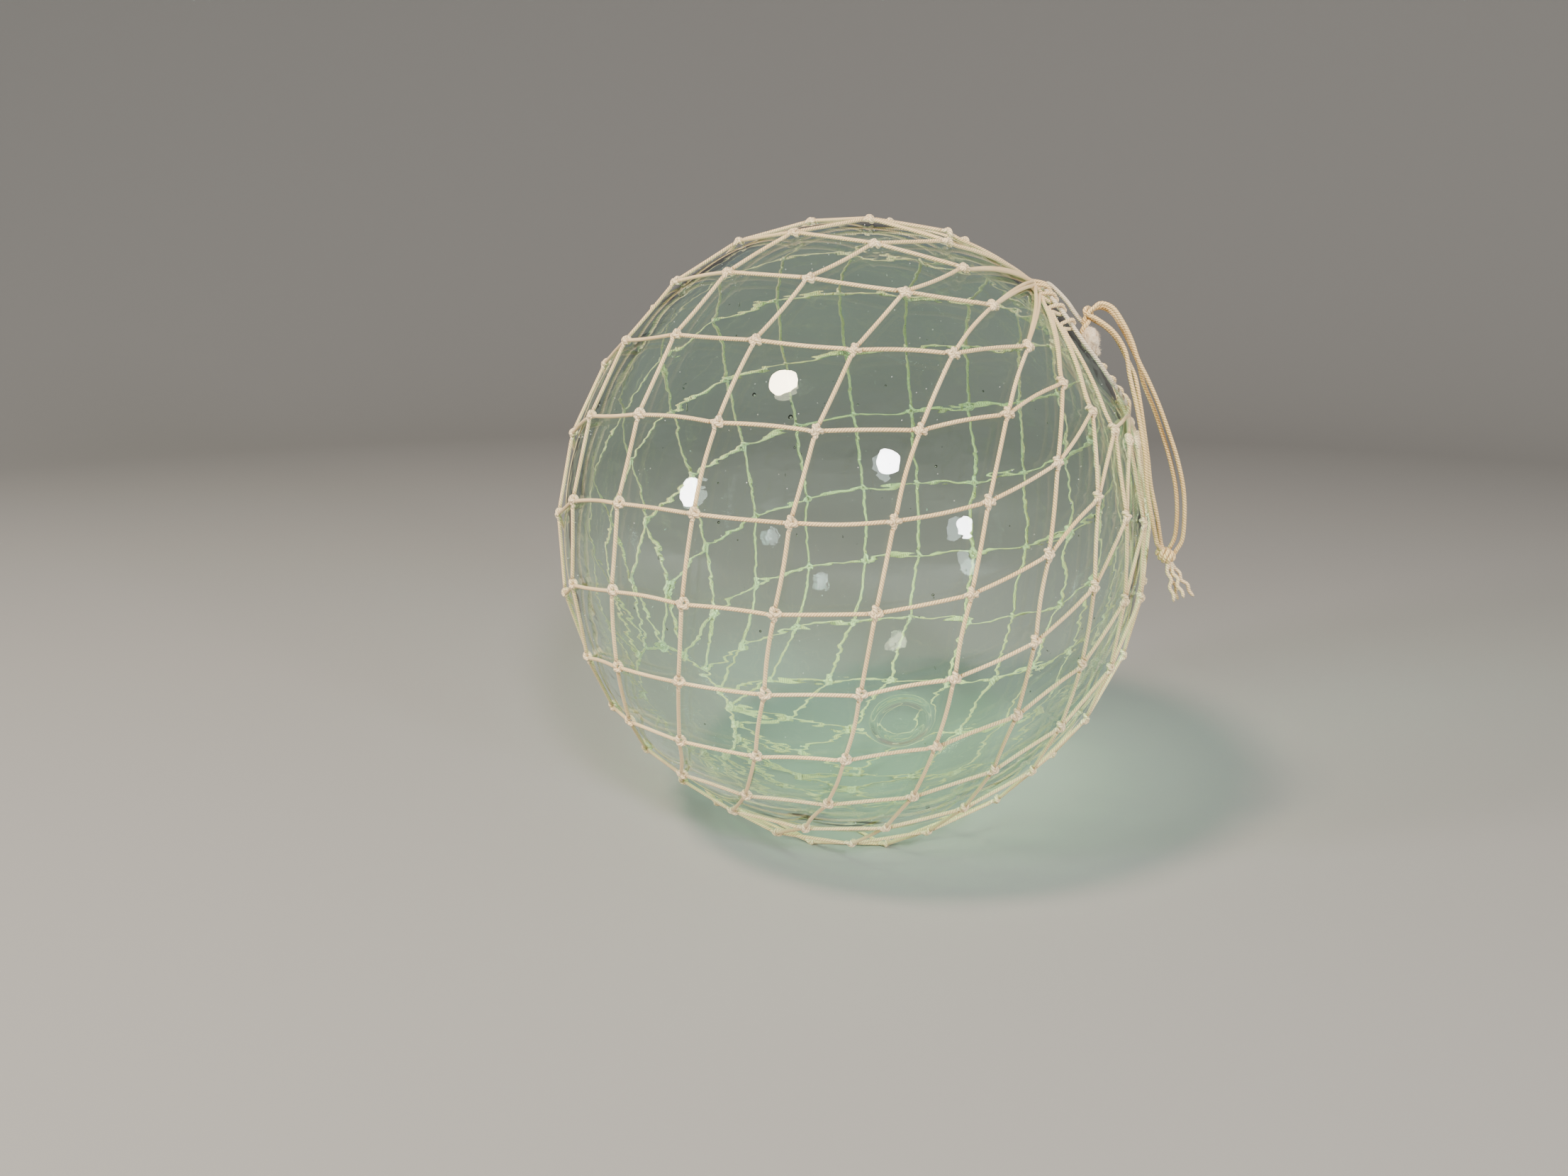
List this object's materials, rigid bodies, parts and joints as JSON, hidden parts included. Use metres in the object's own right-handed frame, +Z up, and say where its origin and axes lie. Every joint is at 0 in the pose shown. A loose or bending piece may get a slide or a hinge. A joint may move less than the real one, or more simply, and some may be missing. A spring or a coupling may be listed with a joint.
{
  "type": "netted glass float ball",
  "caption": "Blown glass fishing float ball in a knotted tan twine net, with a drawstring mouth and a doubled hanging loop.",
  "frame": {"origin": "centre of the underside of the net, on the surface that the ball lies on", "axes": "+Z up; +X to the side where the net's mouth and its hanging loop are; +Y away from the side with the glass seal"},
  "size_m": [0.3176, 0.31, 0.3239],
  "materials": {
    "glass": "clear blown glass with a faint green tint",
    "twine": "matte laid twine",
    "cord": "matte laid twine, a little darker",
    "frayed_cord": "matte, frayed and fuzzy"
  },
  "bodies": {
    "root": {"glass_float": "glass", "net": "twine", "drawstring": "frayed_cord", "loop_leg_left_front": "cord", "loop_leg_left_back": "cord", "loop_leg_right_front": "cord", "loop_leg_right_back": "cord", "loop_knot": "cord"}
  },
  "joints": []
}
